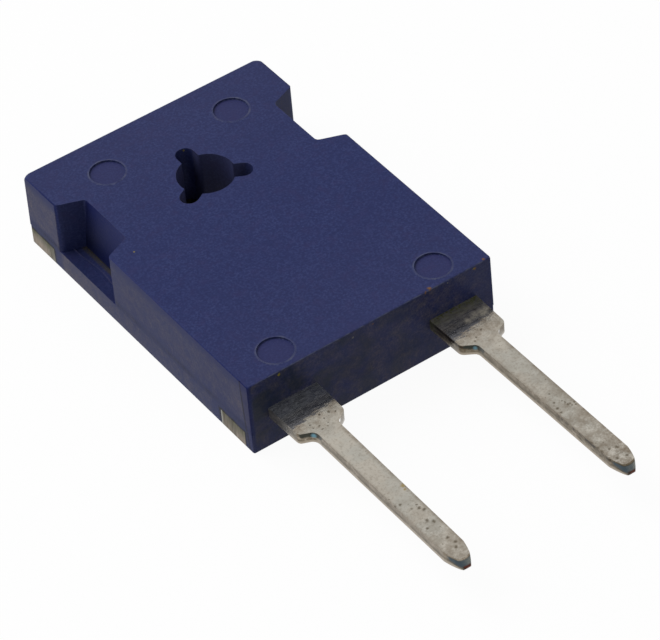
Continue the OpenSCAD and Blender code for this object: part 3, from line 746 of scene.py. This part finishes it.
# sealed inner layers
layers = {                            # colour, metallic and roughness
    "substrate_bond": (tone(160, 162, 164), 1.0, 0.45),
    "ceramic_substrate": (tone(240, 236, 226), 0.0, 0.35),
    "terminal_pad_left": (tone(206, 204, 198), 1.0, 0.4),
    "terminal_pad_right": (tone(206, 204, 198), 1.0, 0.4),
    "resistive_film": (tone(36, 34, 34), 0.0, 0.5),
    "glass_coat": (tone(44, 92, 60), 0.0, 0.15),
    "solder_joint_left": (tone(176, 178, 180), 1.0, 0.3),
    "solder_joint_right": (tone(176, 178, 180), 1.0, 0.3),
}


def makeLayer(name, colour, metal, roughness):
    material, tree, shader, place = newMaterial(name)
    speckle = clouds(tree, place, 10.0, 3.0)
    paler = mixed(tree, 0.15, colour, white)
    shade = mixed(tree, clouds(tree, place, 0.8, 3.0), colour, paler)
    shader.inputs["Metallic"].default_value = metal
    uneven = ranged(tree, speckle, 0.3, 0.7, roughness * 0.8, roughness * 1.2)
    finish(tree, shader, shade, uneven, speckle, 0.2, 0.01)
    return material


# refined meshes
def cleanCopy(nodeName):
    # the CAD mesh with its seams merged and its flats joined again
    bm = bmesh.new()
    bm.from_mesh(nodes[nodeName].data)
    bmesh.ops.remove_doubles(bm, verts=bm.verts, dist=0.0005 * mm)
    bmesh.ops.dissolve_limit(bm, angle_limit=math.radians(0.3), verts=bm.verts, edges=bm.edges,
                             use_dissolve_boundaries=False, delimit=set())
    return bm


def isCorner(edge, degrees):
    return edge.calc_face_angle(0) > math.radians(degrees)


def roundEdges(bm, wanted, width, segments):
    # wanted says of an edge whether it is rounded; width is in millimetres
    edges = [edge for edge in bm.edges if edge.is_manifold and wanted(edge)]
    bmesh.ops.bevel(bm, geom=edges, offset=width * mm, offset_type="OFFSET", segments=segments, profile=0.5,
                    affect="EDGES", clamp_overlap=True, material=-1)
    return len(edges)


def finishPiece(bm, name, nodeName, material):
    mesh = bpy.data.meshes.new(name)
    bm.to_mesh(mesh)
    bm.free()
    mesh.materials.append(material)
    mesh.shade_smooth()
    mesh.set_sharp_from_angle(angle=math.radians(35))
    piece = bpy.data.objects.new(name, mesh)
    bpy.context.scene.collection.objects.link(piece)
    weighted = piece.modifiers.new("weighted normals", "WEIGHTED_NORMAL")
    weighted.keep_sharp = True
    weighted.weight = 100
    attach(piece, "root")
    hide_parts(nodeName)
    return piece


moulding = {
    "rim": 0.05,                      # rounding of the hole and mark rims and the notches' top edges
    "mouth": 0.14,                    # of the upright edges of the notches
    "foot": 0.12,                     # of the edge round the mounting face
    "near": 0.3,                      # an edge this close to a wall counts as lying in it
    "mouthFrom": 2.2,                 # the upright edges lie between these from the notch's middle
    "mouthTo": 3.2,
    "mouthHeight": 0.6,               # and are taller than this
}


def makeMoulding(material):
    bm = cleanCopy("moulded_body")
    near = moulding["near"] * mm

    def atRim(edge):
        ends = [vert.co for vert in edge.verts]
        inside = all(abs(end.x) < bodyHigh.x - 0.15 * mm and end.y > bodyLow.y + 0.2 * mm for end in ends)
        return isCorner(edge, 60) and inside and all(end.z > topZ - 0.02 * mm for end in ends)

    def atMouth(edge):
        ends = [vert.co for vert in edge.verts]
        fromMiddle = abs(ends[0].y / mm - epoxy["notchMiddle"])
        upright = abs(ends[0].z - ends[1].z) > moulding["mouthHeight"] * mm and isCorner(edge, 30)
        atEnd = moulding["mouthFrom"] < fromMiddle < moulding["mouthTo"]
        return upright and atEnd and all(abs(end.x) > bodyHigh.x - near for end in ends)

    def atFoot(edge):
        ends = [vert.co for vert in edge.verts]
        bySide = all(abs(end.x) > bodyHigh.x - near for end in ends)
        byFace = all(end.y < bodyLow.y + near for end in ends)
        lowest = all(end.z < bodyLow.z + 0.005 * mm for end in ends)
        return isCorner(edge, 60) and (bySide or byFace) and lowest
    mouths = roundEdges(bm, atMouth, moulding["mouth"], 4)
    feet = roundEdges(bm, atFoot, moulding["foot"], 3)
    rims = roundEdges(bm, atRim, moulding["rim"], 3)
    piece = finishPiece(bm, "moulding", "moulded_body", material)
    print("moulding:", mouths, "mouth,", feet, "foot and", rims, "rim edges rounded,",
          len(piece.data.polygons), "faces")


leadShape = {
    "top": 0.1,                       # roundings of the top and bottom edges
    "bottom": 0.12,
    "end": 0.34,                      # length over which the end is rounded in plan
    "endWidth": 0.62,                 # share of the width left at the very end
    "cuts": [0.03, 0.07, 0.12, 0.18, 0.26, 0.34, 0.5, 0.7, 0.9],
    "belly": 0.045,                   # bulge of the point's flanks
    "point": 1.2,                     # length of the point
    "taper": 0.045,                   # how far the inner flank runs in by the point
    "taperLength": 1.4,
    "draw": 0.12,                     # how far the outer shoulder is drawn back
    "fill": 0.055,                    # how much fuller the inner fillet is
    "shoulder": 2.65,                 # where the shoulder starts, from the body
    "fillet": 3.05,                   # where the inner fillet starts
    "neck": 3.6,                      # where both end
    "ease": 0.3,                      # length over which they come in
    "legHalf": 0.6,                   # they lie further out from the middle than this
}


def roundEnd(bm, side, x):
    # extra rings near the end, then their width follows a quarter round
    for cut in leadShape["cuts"]:
        bmesh.ops.bisect_plane(bm, geom=bm.verts[:] + bm.edges[:] + bm.faces[:], dist=1e-8,
                               plane_co=(0, tipY + cut * mm, 0), plane_no=(0, 1, 0))
    point, end, least = leadShape["point"], leadShape["end"], leadShape["endWidth"]
    for vert in bm.verts:
        fromTip = (vert.co.y - tipY) / mm
        if fromTip < point:
            bulge = leadShape["belly"] * mm * math.sin(math.pi * fromTip / point)
            vert.co.x += math.copysign(bulge, vert.co.x - x)
        inward = (x - vert.co.x) * leadSides[side] / mm
        if fromTip < leadShape["taperLength"] and inward > 0:
            vert.co.x += leadSides[side] * leadShape["taper"] * mm * min(1.0, inward / 0.5)
        away = fromTip / end
        if away < 1:
            width = least + (1 - least) * math.sqrt(max(0.0, 1 - (1 - away) ** 2))
            vert.co.x = x + (vert.co.x - x) * width


def drawShoulder(bm, side, x):
    half, neck, ease = leadShape["legHalf"], leadShape["neck"], leadShape["ease"]
    shoulder, fillet = leadShape["shoulder"], leadShape["fillet"]
    for vert in bm.verts:
        outward = (vert.co.x - x) * leadSides[side] / mm
        along = faceY - vert.co.y / mm
        if outward > half and shoulder < along < neck:
            vert.co.y += leadShape["draw"] * mm * min(1.0, (along - shoulder) / ease)
        if outward < -half and fillet < along < neck:
            vert.co.x -= leadShape["fill"] * mm * leadSides[side] * min(1.0, (along - fillet) / ease)


def makeLead(side, material):
    bm = cleanCopy("lead_" + side)
    roundEnd(bm, side, leadX[side])
    drawShoulder(bm, side, leadX[side])

    def atTop(edge):
        return isCorner(edge, 60) and all(vert.co.z > leadTop - 0.01 * mm for vert in edge.verts)

    def atBottom(edge):
        ends = [vert.co for vert in edge.verts]
        showing = min(end.y for end in ends) < bodyLow.y
        return isCorner(edge, 60) and showing and all(end.z < leadBottom + 0.01 * mm for end in ends)
    count = roundEdges(bm, atBottom, leadShape["bottom"], 3)
    count += roundEdges(bm, atTop, leadShape["top"], 4)
    piece = finishPiece(bm, "lead_blade_" + side, "lead_" + side, material)
    print("lead", side + ":", count, "edges rounded,", len(piece.data.polygons), "faces")


plate = {
    "edge": 0.04,
    "burr": 0.1,                      # rounding of the ears' lower edges
    "ear": 0.8,                       # an edge this close to the plate's outer sides is an ear's
}


def makePlate(material):
    bm = cleanCopy("base_plate")

    def underEar(edge):
        ends = [vert.co for vert in edge.verts]
        outer = all(abs(end.x) > plateHigh.x - plate["ear"] * mm and end.z < 0.01 * mm for end in ends)
        return isCorner(edge, 60) and outer

    def anyCorner(edge):
        return isCorner(edge, 60)
    count = roundEdges(bm, underEar, plate["burr"], 3)
    count += roundEdges(bm, anyCorner, plate["edge"], 2)
    piece = finishPiece(bm, "tab_plate", "base_plate", material)
    print("plate:", count, "edges rounded,", len(piece.data.polygons), "faces")


makeMoulding(makeEpoxy())
tinned = makeTin()
for side in leadSides:
    makeLead(side, tinned)
makePlate(makePlating())
for name, (colour, metal, roughness) in layers.items():
    node = nodes[name]
    node.data.materials.clear()
    node.data.materials.append(makeLayer(name, colour, metal, roughness))
print("sealed layers finished:", len(layers))

# floor, light and camera
stage = {
    "size": 4.0,
    "paper": (0.9, 0.9, 0.9, 1),
    "bounce": (0.2, 0.2, 0.2, 1),     # how much light the floor gives back to the object
    "lift": 0.95,                     # how far the floor is lifted to white where it is seen or mirrored
    "sky": 0.4,
    "rise": 0.01 * mm,                # keeps the floor from lying in the mounting face
}


def seenOrMirrored(tree):
    rays = put(tree, "ShaderNodeLightPath").outputs
    seen = maths(tree, "ADD", rays["Is Camera Ray"], rays["Is Glossy Ray"], clamp=True)
    return maths(tree, "ADD", seen, rays["Is Transmission Ray"], clamp=True)


def makeFloor():
    material = bpy.data.materials.new("paper")
    material.use_nodes = True
    tree = material.node_tree
    tree.nodes.remove(tree.nodes["Principled BSDF"])
    seen = seenOrMirrored(tree)
    colour = mixed(tree, seen, stage["bounce"], stage["paper"])
    paper = put(tree, "ShaderNodeBsdfDiffuse", {"Color": colour}).outputs[0]
    glow = put(tree, "ShaderNodeEmission", {"Color": white, "Strength": 1.0}).outputs[0]
    share = maths(tree, "MULTIPLY", seen, stage["lift"])
    shader = put(tree, "ShaderNodeMixShader", {0: share, 1: paper, 2: glow}).outputs[0]
    # clear from below, so that the underside shows
    below = put(tree, "ShaderNodeNewGeometry").outputs["Backfacing"]
    clear = put(tree, "ShaderNodeBsdfTransparent").outputs[0]
    shader = put(tree, "ShaderNodeMixShader", {0: below, 1: shader, 2: clear}).outputs[0]
    tree.links.new(shader, tree.nodes["Material Output"].inputs["Surface"])
    bm = bmesh.new()
    bmesh.ops.create_grid(bm, x_segments=4, y_segments=4, size=stage["size"] / 2)
    bmesh.ops.translate(bm, verts=bm.verts, vec=(0, 0, cadLow.z + stage["rise"]))
    mesh = bpy.data.meshes.new("floor")
    bm.to_mesh(mesh)
    bm.free()
    mesh.materials.append(material)
    floor = bpy.data.objects.new("floor", mesh)
    bpy.context.scene.collection.objects.link(floor)


def makeSky():
    world = bpy.data.worlds.new("studio")
    bpy.context.scene.world = world
    world.use_nodes = True
    tree = world.node_tree
    sky = tree.nodes["Background"]
    strength = ranged(tree, seenOrMirrored(tree), 0.0, 1.0, stage["sky"], 1.0)
    sky.inputs["Color"].default_value = white
    tree.links.new(strength, sky.inputs["Strength"])


def fromCentre(centre, azimuth, elevation, distance):
    # azimuth 0 is in front of the leads, 90 is to the right
    a, e = math.radians(azimuth), math.radians(elevation)
    back = Vector((math.sin(a) * math.cos(e), -math.cos(a) * math.cos(e), math.sin(e)))
    return centre + back * distance, back


lamps = {
    "key": {"azimuth": -150, "elevation": 44, "distance": 0.5, "size": 0.45, "power": 2.28},
}


def makeLamps(centre):
    for name, lamp in lamps.items():
        light = bpy.data.lights.new(name, "AREA")
        light.size = lamp["size"]
        light.energy = lamp["power"]
        place, back = fromCentre(centre, lamp["azimuth"], lamp["elevation"], lamp["distance"])
        thing = bpy.data.objects.new(name, light)
        thing.location = place
        thing.rotation_euler = back.to_track_quat("Z", "Y").to_euler()
        thing.visible_glossy = False
        bpy.context.scene.collection.objects.link(thing)


camera = {
    "azimuth": -31.74,
    "elevation": 42.81,
    "roll": -5.43,
    "distance": 0.2127,
    "lens": 218.72,
    "aim": (-0.24, 3.65, 2.5),        # from the middle of the body's lead face, mm
}


def makeCamera():
    data = bpy.data.cameras.new("camera")
    data.lens = camera["lens"]
    data.sensor_width = 36
    data.clip_start = 0.01
    data.clip_end = 10
    thing = bpy.data.objects.new("camera", data)
    aim = Vector((0, bodyLow.y, 0)) + Vector(camera["aim"]) * mm
    place, back = fromCentre(aim, camera["azimuth"], camera["elevation"], camera["distance"])
    thing.location = place
    turn = back.to_track_quat("Z", "Y").to_matrix().to_4x4()
    thing.rotation_euler = (turn @ Matrix.Rotation(math.radians(camera["roll"]), 4, "Z")).to_euler()
    bpy.context.scene.collection.objects.link(thing)
    bpy.context.scene.camera = thing


makeFloor()
makeSky()
makeLamps((cadLow + cadHigh) / 2)
makeCamera()
bpy.context.scene.view_settings.view_transform = "Standard"
print("stage, lamps and camera ready")
